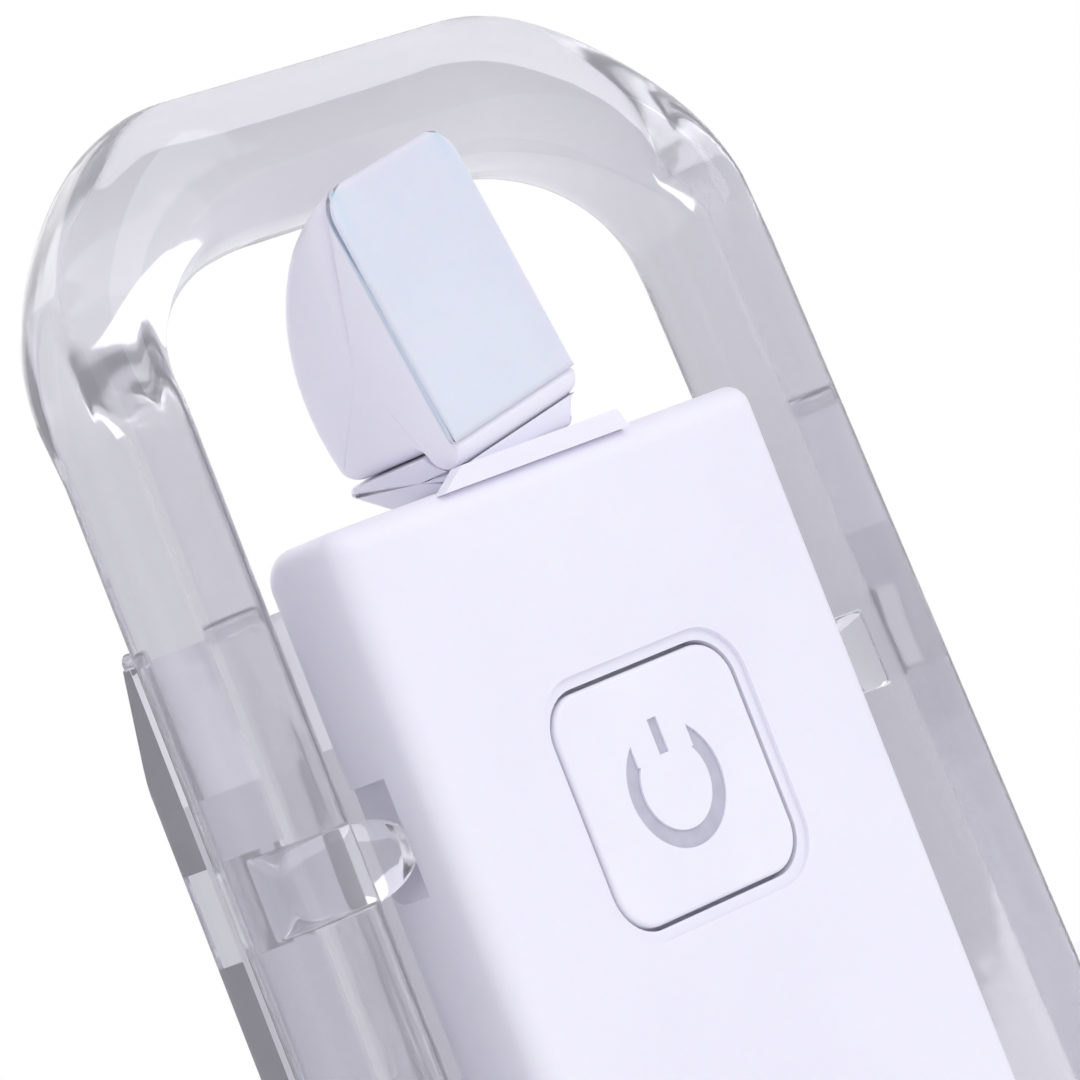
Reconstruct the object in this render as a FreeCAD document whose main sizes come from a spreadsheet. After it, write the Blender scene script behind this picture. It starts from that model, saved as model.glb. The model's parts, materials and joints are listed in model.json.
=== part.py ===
"""Clip on reading lamp: a clear one-piece clip, a flat battery housing held between its legs, and a small lamp head.

Frame: X across the lamp, +Y from the button side towards the rear jaw, +Z along the lamp towards the head.
The origin is in the mouth of the clip, half way between the legs and the jaw, at the level of the jaw's tip.
Lengths are millimetres and angles are degrees.
"""
import FreeCAD, Part
import Sketcher
import math
import os

from FreeCAD import Placement, Rotation, Vector

doc = FreeCAD.newDocument("reading_lamp")

# ---------------------------------------------------------------- driving dimensions
SIZES = {
    # housing
    "housing_width": 28.0,
    "housing_height": 66.0,
    "housing_depth": 7.0,
    "housing_wall": 1.2,
    "housing_base": 2.0,        # the housing's lower end above the jaw's tip
    "front_to_page": 8.75,      # button face to the page plane
    "edge_round": 1.3,
    "shoulder_round": 2.8,
    # clear clip
    "leg_clear": 3.0,           # housing's side to a leg's inner face, at the bend
    "leg_width": 4.1,
    "leg_depth": 7.4,
    "leg_round": 1.9,
    "bar_round": 3.4,           # the arch's edges, where it passes over the head
    "left_flare": 0.2,
    "right_flare": 2.3,
    "leg_end": 1.0,             # the legs' lower ends above the jaw's tip
    "bend_rise": 7.2,           # the bend above the housing's top
    "arch_lean": 9.2,
    "arch_inner": 6.7,          # bend to the arch's inner edge
    "arch_bar": 7.2,            # width of the arch's top bar
    "arch_outer_x": 12.0,
    "arch_outer_z": 12.0,
    "arch_inner_x": 11.0,
    "arch_inner_z": 7.4,
    "bump_drop": 14.1,          # housing top to the bump's middle
    "bump_height": 3.8,
    "bump_depth": 4.2,
    "bump_reach": 1.0,          # how far the bump goes into the notch
    "notch_front": 2.8,
    "notch_drop": 11.0,         # housing top to the notch's upper end
    "notch_height": 3.6,
    "notch_ramp": 2.0,
    "notch_sink": 1.5,
    # rear jaw
    "page_gap": 0.3,
    "jaw_thick": 2.2,
    "jaw_inset": 0.9,           # the jaw's edge inside the legs' outer edge
    "jaw_ramp": 9.0,
    "jaw_root": 2.2,            # the root's height, from the housing's top down
    "jaw_round": 0.6,
    "flex_radius": 0.5,         # the round root that stands for the moulding's flexing line
    "flex_gap": 0.05,
    "flex_y": 0.05,
    "jaw_lip": 5.0,
    "jaw_lip_out": 1.6,
    # button
    "button_width": 11.9,
    "button_height": 11.2,
    "button_drop": 16.2,        # housing top to the button's middle
    "button_round": 2.0,
    "button_gap": 0.2,
    "button_sink": 0.15,
    "button_travel": 0.4,
    "button_deep": 1.9,
    "flange_margin": 0.7,
    "flange_thick": 0.6,
    "dish_margin": 0.75,
    "dish_sink": 0.25,
    "icon_radius": 3.0,
    "icon_stroke": 0.85,
    "icon_sink": 0.12,
    # circuit board and switch
    "board_width": 22.0,
    "board_height": 26.0,
    "board_thick": 0.8,
    "board_back": 1.35,         # board's rear face to the housing's rear face
    "switch_side": 6.0,
    "switch_high": 1.3,
    "plunger_radius": 1.5,
    "lead_radius": 0.3,
    "lead_x": 2.4,
    "lead_long": 4.3,
    # cells
    "cell_radius": 10.0,
    "cell_thick": 1.6,
    "cell_rise": 17.5,          # housing's lower end to the cells' axis
    "door_width": 21.0,
    "door_height": 23.0,
    "door_thick": 1.0,
    # head and its hinge
    "head_width": 8.8,
    "head_depth": 8.9,
    "head_rise": 15.4,          # housing top to the head's top
    "head_back_radius": 10.45,
    "head_back_ahead": 1.82,    # the back arc's centre in front of the front face
    "crease_rise": 2.6,
    "head_wall": 0.9,
    "window_high": 9.8,
    "head_roll": 10.0,
    "lens_thick": 0.5,
    "swing_drop": 1.5,          # housing top down to the swing pin
    "swing_back": 3.6,          # button face to the neck's middle
    "neck_thick": 3.4,
    "neck_radius": 3.2,
    "neck_base_half": 3.5,
    "pin_radius": 0.5,
    "pin_gap": 0.05,
    "tilt_forward": 1.25,       # head's front face to the tilt pin
    "knuckle_radius": 1.15,
    "knuckle_half": 1.9,
    "joint_gap": 0.15,
    "lip_half": 5.3,
    "lip_ramp": 1.6,            # how far the lip's left end slopes out
    "lip_high": 0.75,
    "lip_thick": 0.8,
}

sheet = doc.addObject("Spreadsheet::Sheet", "sizes")
for row, (alias, value) in enumerate(SIZES.items(), start=1):
    sheet.set("A%d" % row, alias)
    sheet.set("B%d" % row, str(value))
    sheet.setAlias("B%d" % row, alias)
doc.recompute()


def size(alias):
    """The value that the sheet holds for one named size."""
    return float(sheet.get(alias))


HOUSING_TOP = "(sizes.housing_base + sizes.housing_height)"
FRONT = "(-sizes.front_to_page)"
BACK = "(sizes.housing_depth - sizes.front_to_page)"
housing_top = size("housing_base") + size("housing_height")
front = -size("front_to_page")
back = front + size("housing_depth")
leg_middle = -size("page_gap") / 2 - size("leg_depth") / 2
leg_inner = size("housing_width") / 2 + size("leg_clear")
bend_z = housing_top + size("bend_rise")
bump_z = housing_top - size("bump_drop")
pivot = Vector(0, front + size("swing_back"), housing_top - size("swing_drop"))
pieces = {}


# ---------------------------------------------------------------- small helpers
def bind(obj, **rules):
    """Bind properties to the sheet; x, y and z stand for the placement's base."""
    for name, rule in rules.items():
        path = "Placement.Base." + name if name in "xyz" else name
        obj.setExpression(path, str(rule))
    return obj


def box(name, length, width, height, at):
    """A box by its three side rules and the rule of its lowest corner."""
    obj = doc.addObject("Part::Box", name)
    return bind(obj, Length=length, Width=width, Height=height, x=at[0], y=at[1], z=at[2])


def block(name, wide, x_mid, y_low, deep, z_low, high):
    """A box that is centred on x_mid."""
    return box(name, wide, deep, high, ("%s - (%s) / 2" % (x_mid, wide), y_low, z_low))


def rod(name, radius, high, at, axis=Vector(0, 0, 1)):
    """A cylinder along an axis from the point that the rules give."""
    obj = doc.addObject("Part::Cylinder", name)
    obj.Placement = Placement(Vector(), Rotation(Vector(0, 0, 1), axis))
    return bind(obj, Radius=radius, Height=high, x=at[0], y=at[1], z=at[2])


def combine(kind, name, first, second):
    """A boolean of two objects, or of one object and a list of tools."""
    if isinstance(second, (list, tuple)):
        for count, tool in enumerate(second):
            label = name if count == len(second) - 1 else "%s_%d" % (name, count)
            first = combine(kind, label, first, tool)
        return first
    obj = doc.addObject("Part::" + kind, name)
    obj.Base = first
    obj.Tool = second
    return obj


def keep(node, obj):
    """Name an object as one of the lamp's pieces."""
    obj.Label = node
    pieces[node] = obj
    return obj


def plain(node, shape):
    """A piece whose shape Part's functions have made."""
    obj = doc.addObject("Part::Feature", node)
    obj.Shape = shape
    obj.Placement = Placement()
    return keep(node, obj)


def sketch_on(body, name, role, offset=None):
    """A sketch on one of the body's own origin planes, moved along the plane's normal by a rule."""
    sketch = body.newObject("Sketcher::SketchObject", name)
    plane = [f for f in body.Origin.OriginFeatures if f.Role == role][0]
    sketch.AttachmentSupport = (plane, "")
    sketch.MapMode = "FlatFace"
    if offset is not None:
        sketch.setExpression("AttachmentOffset.Base.z", offset)
    return sketch


def rectangle(sketch, left, right, low, high):
    """Four lines whose corners follow four rules, measured from the sketch's origin."""
    corners = [(-2, -1), (2, -1), (2, 1), (-2, 1)]
    first = sketch.GeometryCount
    for index in range(4):
        start, end = corners[index], corners[(index + 1) % 4]
        sketch.addGeometry(Part.LineSegment(Vector(*start, 0), Vector(*end, 0)))
    for index in range(4):
        sketch.addConstraint(Sketcher.Constraint("Coincident", first + index, 2, first + (index + 1) % 4, 1))
    for index, kind in enumerate(["Horizontal", "Vertical", "Horizontal", "Vertical"]):
        sketch.addConstraint(Sketcher.Constraint(kind, first + index))
    rules = [
        ("DistanceX", 0, 1, left),
        ("DistanceX", 0, 2, right),
        ("DistanceY", 0, 1, low),
        ("DistanceY", 2, 1, high),
    ]
    for kind, line, point, rule in rules:
        number = sketch.addConstraint(Sketcher.Constraint(kind, -1, 1, first + line, point, 1.0))
        sketch.setExpression("Constraints[%d]" % number, rule)
    return sketch


def feature(body, kind, name, sketch, length, back_to_front=False):
    """A pad or a pocket of a sketch, with its length bound to a rule."""
    obj = body.newObject("PartDesign::" + kind, name)
    obj.Profile = sketch
    obj.setExpression("Length", length)
    obj.Reversed = back_to_front
    sketch.Visibility = False
    return obj


def fillet(body, name, base, radius, chosen):
    """Round the edges of base's shape that the test picks."""
    doc.recompute()
    names = ["Edge%d" % (n + 1) for n, edge in enumerate(base.Shape.Edges) if chosen(edge)]
    obj = body.newObject("PartDesign::Fillet", name)
    obj.Base = (base, names)
    obj.setExpression("Radius", radius)
    return obj


def wedge(name, x_low, x_high, y_low, y_high, base, top):
    """A six-sided taper between two heights; each pair of x and y rules gives the limits at the base or at the top."""
    obj = doc.addObject("Part::Wedge", name)
    obj.Placement = Placement(Vector(), Rotation(X_AXIS, 90))
    return bind(obj, Xmin=x_low[0], Xmax=x_low[1], Zmin="-(%s)" % y_low[1], Zmax="-(%s)" % y_low[0], Ymin=base,
                X2min=x_high[0], X2max=x_high[1], Z2min="-(%s)" % y_high[1], Z2max="-(%s)" % y_high[0], Ymax=top)


def runs_along(edge, axis):
    """Whether an edge is a straight line along an axis."""
    if not isinstance(edge.Curve, Part.Line):
        return False
    return abs(edge.tangentAt(edge.FirstParameter).dot(axis)) > 0.999


def middle(edge):
    """The middle of an edge."""
    return edge.valueAt((edge.FirstParameter + edge.LastParameter) / 2)


X_AXIS, Y_AXIS, Z_AXIS = Vector(1, 0, 0), Vector(0, 1, 0), Vector(0, 0, 1)


# ---------------------------------------------------------------- housing shells
def housing_envelope():
    """The housing's outer form: a flat block with a soft front outline and a rounder back outline."""
    body = doc.addObject("PartDesign::Body", "housing_envelope")
    outline = sketch_on(body, "housing_outline", "XZ_Plane", "-" + FRONT)
    rectangle(outline, "-sizes.housing_width / 2", "sizes.housing_width / 2", "sizes.housing_base", HOUSING_TOP)
    pad = feature(body, "Pad", "housing_block", outline, "sizes.housing_depth", True)
    corners = fillet(body, "housing_corners", pad, "sizes.edge_round * 0.7", lambda e: runs_along(e, Y_AXIS))
    soft = fillet(body, "housing_front_edge", corners, "sizes.edge_round",
                  lambda e: abs(middle(e).y - front) < 0.001)
    fillet(body, "housing_back_edge", soft, "sizes.shoulder_round", lambda e: abs(middle(e).y - back) < 0.001)
    return body


def notch_tools(prefix):
    """Side notches, open to the back, where the clip's bumps sit: a block, and below it a ramp back to the side."""
    tools = []
    depth_rules = (FRONT + " + sizes.notch_front", FRONT + " + sizes.housing_depth + 1")
    ramp_top = HOUSING_TOP + " - sizes.notch_drop - sizes.notch_height"
    for side, sign in (("left", -1), ("right", 1)):
        x_mid = "%d * sizes.housing_width / 2" % sign
        tools.append(block(prefix + side, "2 * sizes.notch_sink", x_mid, depth_rules[0], "sizes.housing_depth",
                           ramp_top, "sizes.notch_height"))
        surface, outside = "(sizes.housing_width / 2)", "(sizes.housing_width / 2 + 1)"
        deepest = "(sizes.housing_width / 2 - sizes.notch_sink)"
        low, high = (surface, outside), (deepest, outside)
        if sign < 0:
            low, high = ("-" + outside, "-" + surface), ("-" + outside, "-" + deepest)
        tools.append(wedge(prefix + side + "_ramp", low, high, depth_rules, depth_rules,
                           ramp_top + " - sizes.notch_ramp", ramp_top))
    return tools


SPLIT = "(" + BACK + " - sizes.housing_wall)"
INNER_W = "(sizes.housing_width - 2 * sizes.housing_wall)"
INNER_BASE = "(sizes.housing_base + sizes.housing_wall)"
BUTTON_Z = "(" + HOUSING_TOP + " - sizes.button_drop)"
CELL_Z = "(sizes.housing_base + sizes.cell_rise)"
SWING_Z = "(" + HOUSING_TOP + " - sizes.swing_drop)"
NECK_Y = "(" + FRONT + " + sizes.swing_back)"
SCREW_X = "(sizes.housing_width / 2 - sizes.housing_wall - 1.75)"
SCREW_Z = "(" + HOUSING_TOP + " - 4.6)"


def rounded_block(name, wide, y_low, deep, high, radius):
    """A block about the button's middle whose four long corners are round."""
    body = doc.addObject("PartDesign::Body", name + "_body")
    outline = sketch_on(body, name + "_outline", "XZ_Plane", "-(" + y_low + ")")
    rectangle(outline, "-(%s) / 2" % wide, "(%s) / 2" % wide, BUTTON_Z + " - (%s) / 2" % high,
              BUTTON_Z + " + (%s) / 2" % high)
    pad = feature(body, "Pad", name + "_pad", outline, deep, True)
    fillet(body, name + "_corners", pad, radius, lambda e: runs_along(e, Y_AXIS))
    return body


def lead_rods(name, radius):
    """Two rods side by side from the board's upper end to the pocket, for the leads or for the holes they run in."""
    return [rod("%s_%d" % (name, n), radius, "sizes.lead_long",
                ("%d * sizes.lead_x" % sign, SPLIT + " - 1.27", SWING_Z + " - sizes.lead_long - 2.4"), Z_AXIS)
            for n, sign in enumerate((-1, 1))]


def front_shell(envelope):
    """The deep front tray, with the button opening, the pocket for the neck and the low lip in front of it."""
    front_half = block("tray_space", "sizes.housing_width + 2", "0", FRONT + " - 1",
                       SPLIT + " - " + FRONT + " + 1", "sizes.housing_base - 1", "sizes.housing_height + 2")
    tray = combine("Common", "tray", envelope, front_half)
    lip_depth = (FRONT, FRONT + " + sizes.lip_thick")
    lip = wedge("lip_block", ("-sizes.lip_half - sizes.lip_ramp", "sizes.lip_half + 0.1"),
                ("-sizes.lip_half", "sizes.lip_half - 0.3"), lip_depth, lip_depth,
                HOUSING_TOP + " - 0.2", HOUSING_TOP + " + sizes.lip_high")
    tray = combine("Fuse", "tray_with_lip", tray, lip)
    hollow = block("tray_hollow", INNER_W, "0", FRONT + " + sizes.housing_wall", "sizes.housing_depth",
                   INNER_BASE, "sizes.housing_height - 2 * sizes.housing_wall - 4.5")
    tray = combine("Cut", "tray_hollowed", tray, hollow)
    backing = [block("notch_backing_%d" % n, "sizes.housing_wall + 0.1",
                     "%d * (sizes.housing_width / 2 - 1.5 * sizes.housing_wall)" % sign,
                     FRONT + " + sizes.housing_wall - 0.1", SPLIT + " - " + FRONT + " - sizes.housing_wall + 0.1",
                     HOUSING_TOP + " - sizes.notch_drop - sizes.notch_height - sizes.notch_ramp",
                     "sizes.notch_height + sizes.notch_ramp + sizes.housing_wall")
               for n, sign in enumerate((-1, 1))]
    tray = combine("Fuse", "tray_backed", tray, backing)
    opening = rounded_block("button_opening", "sizes.button_width + 2 * sizes.button_gap", FRONT + " - 1", "4",
                            "sizes.button_height + 2 * sizes.button_gap", "sizes.button_round + sizes.button_gap")
    dish = rounded_block("button_dish", "sizes.button_width + 2 * sizes.dish_margin", FRONT + " - 1",
                         "1 + sizes.dish_sink", "sizes.button_height + 2 * sizes.dish_margin",
                         "sizes.button_round + sizes.dish_margin")
    pocket = rod("neck_pocket", "sizes.neck_radius + sizes.joint_gap", "sizes.neck_thick + 2 * sizes.joint_gap",
                 ("0", NECK_Y + " - sizes.neck_thick / 2 - sizes.joint_gap", SWING_Z), Y_AXIS)
    mouth = block("neck_mouth", "2 * sizes.neck_radius + 2 * sizes.joint_gap + 1.4", "0",
                  NECK_Y + " - sizes.neck_thick / 2 - sizes.joint_gap", "sizes.neck_thick + 2 * sizes.joint_gap",
                  SWING_Z, "sizes.swing_drop + 2")
    pin_hole = rod("swing_pin_hole", "sizes.pin_radius", "sizes.neck_thick + 3",
                   ("0", NECK_Y + " - sizes.neck_thick / 2 - 1", SWING_Z), Y_AXIS)
    holes = [rod("screw_hole_%d" % n, "0.6", "3.2", ("%d * %s" % (sign, SCREW_X), SPLIT, SCREW_Z), -Y_AXIS)
             for n, sign in enumerate((-1, 1))]
    shell = combine("Cut", "front_shell", tray,
                    [opening, dish, pocket, mouth, pin_hole] + holes
                    + lead_rods("lead_hole", "sizes.lead_radius + 0.12") + notch_tools("front_notch_"))
    return keep("front_shell", shell)


def rear_shell(envelope):
    """The flat back cover, with the battery opening, its rim and two screw holes."""
    rear_half = block("cover_space", "sizes.housing_width + 2", "0", SPLIT, "sizes.housing_wall + 1",
                      "sizes.housing_base - 1", "sizes.housing_height + 2")
    cover = combine("Common", "cover", envelope, rear_half)
    opening = block("battery_opening", "sizes.door_width - 1.6", "0", SPLIT + " - 1", "4",
                    CELL_Z + " - sizes.door_height / 2 + 0.8", "sizes.door_height - 1.6")
    seat = block("door_seat", "sizes.door_width + 2 * sizes.joint_gap", "0", BACK + " - sizes.door_thick", "4",
                 "sizes.housing_base - 1",
                 CELL_Z + " + sizes.door_height / 2 + sizes.joint_gap - sizes.housing_base + 1")
    holes = [rod("cover_hole_%d" % n, "0.8", "4", ("%d * %s" % (sign, SCREW_X), BACK + " + 1", SCREW_Z), -Y_AXIS)
             for n, sign in enumerate((-1, 1))]
    sinks = [rod("cover_sink_%d" % n, "1.45", "2", ("%d * %s" % (sign, SCREW_X), BACK + " - 0.6", SCREW_Z), Y_AXIS)
             for n, sign in enumerate((-1, 1))]
    return keep("rear_shell", combine("Cut", "rear_shell", cover,
                                      [opening, seat] + holes + sinks + notch_tools("rear_notch_")))


def housing_screws():
    """Two countersunk screws that hold the back cover."""
    screws = []
    for n, sign in enumerate((-1, 1)):
        at_x = "%d * %s" % (sign, SCREW_X)
        shank = rod("screw_shank_%d" % n, "0.6", "3.0", (at_x, BACK + " - 0.6", SCREW_Z), -Y_AXIS)
        head = rod("screw_head_%d" % n, "1.35", "0.5", (at_x, BACK + " - 0.6", SCREW_Z), Y_AXIS)
        slot = box("screw_slot_%d" % n, "2.0", "1", "0.3",
                   (at_x + " - 1.0", BACK + " - 0.35", SCREW_Z + " - 0.15"))
        screws.append(combine("Cut", "screw_%d" % n, combine("Fuse", "screw_solid_%d" % n, shank, head), slot))
    return keep("housing_screws", combine("Fuse", "housing_screws", screws[0], screws[1]))


def battery_door():
    """The door over the cells; it slides off towards the housing's lower end."""
    lid = block("door_plate", "sizes.door_width", "0", BACK + " - sizes.door_thick", "sizes.door_thick - 0.02",
                "sizes.housing_base + 0.3",
                CELL_Z + " + sizes.door_height / 2 - sizes.housing_base - 0.3")
    grooves = [block("door_groove_%d" % n, "9", "0", BACK + " - 0.35", "1",
                     "sizes.housing_base + 3 + %d * 1.4" % n, "0.6") for n in range(5)]
    return keep("battery_door", combine("Cut", "battery_door", lid, grooves))


# ---------------------------------------------------------------- button and electronics
def power_button():
    """The square cap with rounded corners and a flange behind the front wall; the icon's groove is sunk in it."""
    body = rounded_block("button", "sizes.button_width", FRONT + " + sizes.button_sink", "sizes.button_deep",
                         "sizes.button_height", "sizes.button_round")
    face_y = front + size("button_sink")
    fillet(body, "button_edge", body.Tip, "sizes.button_round / 8", lambda e: abs(middle(e).y - face_y) < 0.001)
    flange = rounded_block("button_flange", "sizes.button_width + 2 * sizes.flange_margin",
                           FRONT + " + sizes.housing_wall + 0.1", "sizes.flange_thick",
                           "sizes.button_height + 2 * sizes.flange_margin",
                           "sizes.button_round + sizes.flange_margin")
    cap = combine("Fuse", "button_cap", body, flange)
    return keep("power_button", combine("Cut", "power_button", cap, icon_solids("icon_groove_", "sizes.icon_sink", 0)))


def icon_solids(prefix, sink, lift):
    """A power icon as two solids: an open ring and a short bar, each as deep as the groove."""
    face = FRONT + " + sizes.button_sink"
    deep = "0.3 + " + sink if lift == 0 else "0.3"
    start = face + " - 0.0" if lift == 0 else face + " + " + sink
    ring = combine("Cut", prefix + "ring_full",
                   rod(prefix + "outer", "sizes.icon_radius", deep, ("0", start, BUTTON_Z), Y_AXIS),
                   rod(prefix + "inner", "sizes.icon_radius - sizes.icon_stroke", deep,
                       ("0", start, BUTTON_Z), Y_AXIS))
    gap = block(prefix + "gap", "3.7", "0", start + " - 1", "3", BUTTON_Z + " + 1.3", "3")
    ring = combine("Cut", prefix + "ring", ring, gap)
    bar = block(prefix + "bar", "0.6", "0", start, deep, BUTTON_Z + " + 1.5", "1.7")
    return combine("Fuse", prefix + "icon", ring, bar)


def electronics():
    """The board with the push switch, its driver chip and resistors, and the two leads to the head."""
    board_y = BACK + " - sizes.housing_wall - sizes.board_back + 1.2 - sizes.board_thick"
    board_low = BUTTON_Z + " - sizes.board_height / 2 - 2"
    board = block("board_plate", "sizes.board_width", "0", board_y, "sizes.board_thick", board_low,
                  "sizes.board_height - 2")
    keep("circuit_board", board)
    switch_y = "(" + board_y + " - sizes.switch_high)"
    can = block("switch_can", "sizes.switch_side", "0", switch_y, "sizes.switch_high",
                BUTTON_Z + " - sizes.switch_side / 2", "sizes.switch_side")
    bore = rod("switch_bore", "sizes.plunger_radius + 0.08", "sizes.button_travel + 0.45",
               ("0", switch_y + " - 0.1", BUTTON_Z), Y_AXIS)
    keep("switch_body", combine("Cut", "switch_body", can, bore))
    cap_back = "(" + FRONT + " + sizes.button_sink + sizes.button_deep)"
    keep("switch_plunger", rod("switch_plunger", "sizes.plunger_radius",
                               switch_y + " - " + cap_back + " + 0.25", ("0", cap_back, BUTTON_Z), Y_AXIS))
    chip = block("chip_block", "3.0", "6.5", board_y + " - 1.0", "1.0", BUTTON_Z + " - 9.5", "3.0")
    keep("driver_chip", chip)
    parts = [block("resistor_%d" % n, "1.2", "-7.5 + %d * 2.2" % n, board_y + " - 0.5", "0.5",
                   BUTTON_Z + " - 9.0", "2.0") for n in range(3)]
    keep("resistors", combine("Fuse", "resistors", combine("Fuse", "resistor_pair", parts[0], parts[1]), parts[2]))


def cells():
    """Two coin cells, one on the other, between a spring leaf and a flat contact."""
    stack_back = "(" + BACK + " - sizes.door_thick - 0.25)"
    for n, node in enumerate(("coin_cell_rear", "coin_cell_front")):
        start = stack_back + " - %d * (sizes.cell_thick + 0.02)" % n
        can = rod(node + "_can", "sizes.cell_radius", "sizes.cell_thick - 0.35", ("0", start, CELL_Z), -Y_AXIS)
        cap = rod(node + "_cap", "sizes.cell_radius - 1.1", "sizes.cell_thick", ("0", start, CELL_Z), -Y_AXIS)
        keep(node, combine("Fuse", node, can, cap))
    stack_front = "(" + stack_back + " - 2 * sizes.cell_thick - 0.02)"
    leaf = block("negative_leaf", "4", "0", stack_front + " - 0.3", "0.28", CELL_Z + " - 6", "17.5")
    keep("contact_negative", leaf)
    strip = block("positive_strip", "0.3", "sizes.cell_radius + 0.35", stack_back + " - 2.6", "2.4",
                  CELL_Z + " - 3", "14.5")
    keep("contact_positive", strip)


def lead_wires():
    """Two thin leads from the board's upper end to the neck's pocket."""
    wires = lead_rods("lead", "sizes.lead_radius")
    return keep("lead_wires", combine("Fuse", "lead_wires", wires[0], wires[1]))


# ---------------------------------------------------------------- neck and head
# The head's pieces are built upright and then turned together about the swing pin, to the side where the head rests.
HEAD_BASE = "(" + HOUSING_TOP + " + sizes.crease_rise)"
TILT_Y = "(" + FRONT + " + sizes.tilt_forward)"
TILT_Z = HEAD_BASE
head_turn = Placement(Vector(), Rotation(Y_AXIS, -size("head_roll")), pivot)


def keep_rolled(node, obj):
    """Keep a piece of the head, turned about the swing pin."""
    obj.Placement = head_turn
    return keep(node, obj)


def cross_rod(name, radius, half):
    """A cylinder along X about the tilt pin."""
    return rod(name, radius, "2 * (%s)" % half, ("-(%s)" % half, TILT_Y, TILT_Z), X_AXIS)


def neck():
    """The neck: a round tongue in the housing's pocket, a tapered block above it and two ears for the tilt pin."""
    neck_low = NECK_Y + " - sizes.neck_thick / 2"
    tongue = rod("neck_tongue", "sizes.neck_radius", "sizes.neck_thick", ("0", neck_low, SWING_Z), Y_AXIS)
    stem = block("neck_stem", "2 * sizes.neck_radius", "0", neck_low, "sizes.neck_thick", SWING_Z,
                 "sizes.swing_drop + 1.5")
    half_low, half_high = "sizes.neck_base_half", "(sizes.head_width / 2 - 0.15)"
    flare = wedge("neck_flare", ("-" + half_low, half_low), ("-" + half_high, half_high),
                  (FRONT + " + 1.0", FRONT + " + 7.4"), (FRONT + " + 0.3", FRONT + " + sizes.head_depth - 0.25"),
                  HOUSING_TOP + " + 0.95", HEAD_BASE + " - 0.1")
    gap = cross_rod("knuckle_gap", "sizes.knuckle_radius + sizes.joint_gap", "sizes.knuckle_half + sizes.joint_gap")
    body = combine("Cut", "neck_trough", combine("Fuse", "neck_solid", tongue, [stem, flare]), gap)
    ear_start = "(sizes.knuckle_half + sizes.joint_gap)"
    ear_long = "(sizes.head_width / 2 - 0.4 - %s)" % ear_start
    ears = [rod("neck_ear_%d" % n, "sizes.knuckle_radius - 0.1", ear_long, (start, TILT_Y, TILT_Z), X_AXIS)
            for n, start in enumerate((ear_start, "-%s - %s" % (ear_start, ear_long)))]
    body = combine("Fuse", "neck_with_ears", body, ears)
    swing_hole = rod("neck_swing_hole", "sizes.pin_radius + sizes.pin_gap", "sizes.neck_thick + 2",
                     ("0", neck_low + " - 1", SWING_Z), Y_AXIS)
    tilt_hole = cross_rod("neck_tilt_hole", "sizes.pin_radius", "sizes.head_width / 2 - 0.6")
    keep_rolled("neck_block", combine("Cut", "neck_block", body, [swing_hole, tilt_hole]))
    keep_rolled("tilt_pin", cross_pin())
    pin_long = BACK + " - sizes.housing_wall - 0.02 - (" + neck_low + " - 1)"
    keep("swing_pin", rod("swing_pin", "sizes.pin_radius", pin_long, ("0", neck_low + " - 1", SWING_Z), Y_AXIS))


def cross_pin():
    """The steel pin that the head tilts on."""
    pin = cross_rod("tilt_pin_rod", "sizes.pin_radius", "sizes.head_width / 2 - 0.7")
    return combine("Fuse", "tilt_pin", pin, cross_rod("tilt_pin_core", "sizes.pin_radius", "1"))


def head_form(prefix, inset):
    """The head's form, drawn in by an inset: a block whose back is a round arc that runs over the top."""
    block_part = block(prefix + "block", "sizes.head_width - 2 * " + inset, "0", FRONT + " + " + inset,
                       "sizes.head_depth - " + inset, HEAD_BASE + " + " + inset,
                       "sizes.head_rise - sizes.crease_rise - 2 * " + inset)
    arc = rod(prefix + "arc", "sizes.head_back_radius - " + inset, "sizes.head_width + 2",
              ("-sizes.head_width / 2 - 1", FRONT + " - sizes.head_back_ahead", HOUSING_TOP + " + 5"), X_AXIS)
    return combine("Common", prefix + "form", block_part, arc)


def head_outer():
    """The head's outer form with its edges rounded."""
    form = head_form("head_", "0")
    doc.recompute()
    rounded = doc.addObject("Part::Fillet", "head_rounded")
    rounded.Base = form
    edges = []
    for number, edge in enumerate(form.Shape.Edges, start=1):
        spot = middle(edge)
        if abs(spot.y - front) < 0.01:
            edges.append((number, 0.35, 0.35))
        elif abs(abs(spot.x) - size("head_width") / 2) < 0.01:
            edges.append((number, 1.1, 1.1))
        elif abs(spot.z - (housing_top + size("head_rise"))) > 0.01:
            edges.append((number, 0.5, 0.5))
    rounded.Edges = edges
    return rounded


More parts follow.
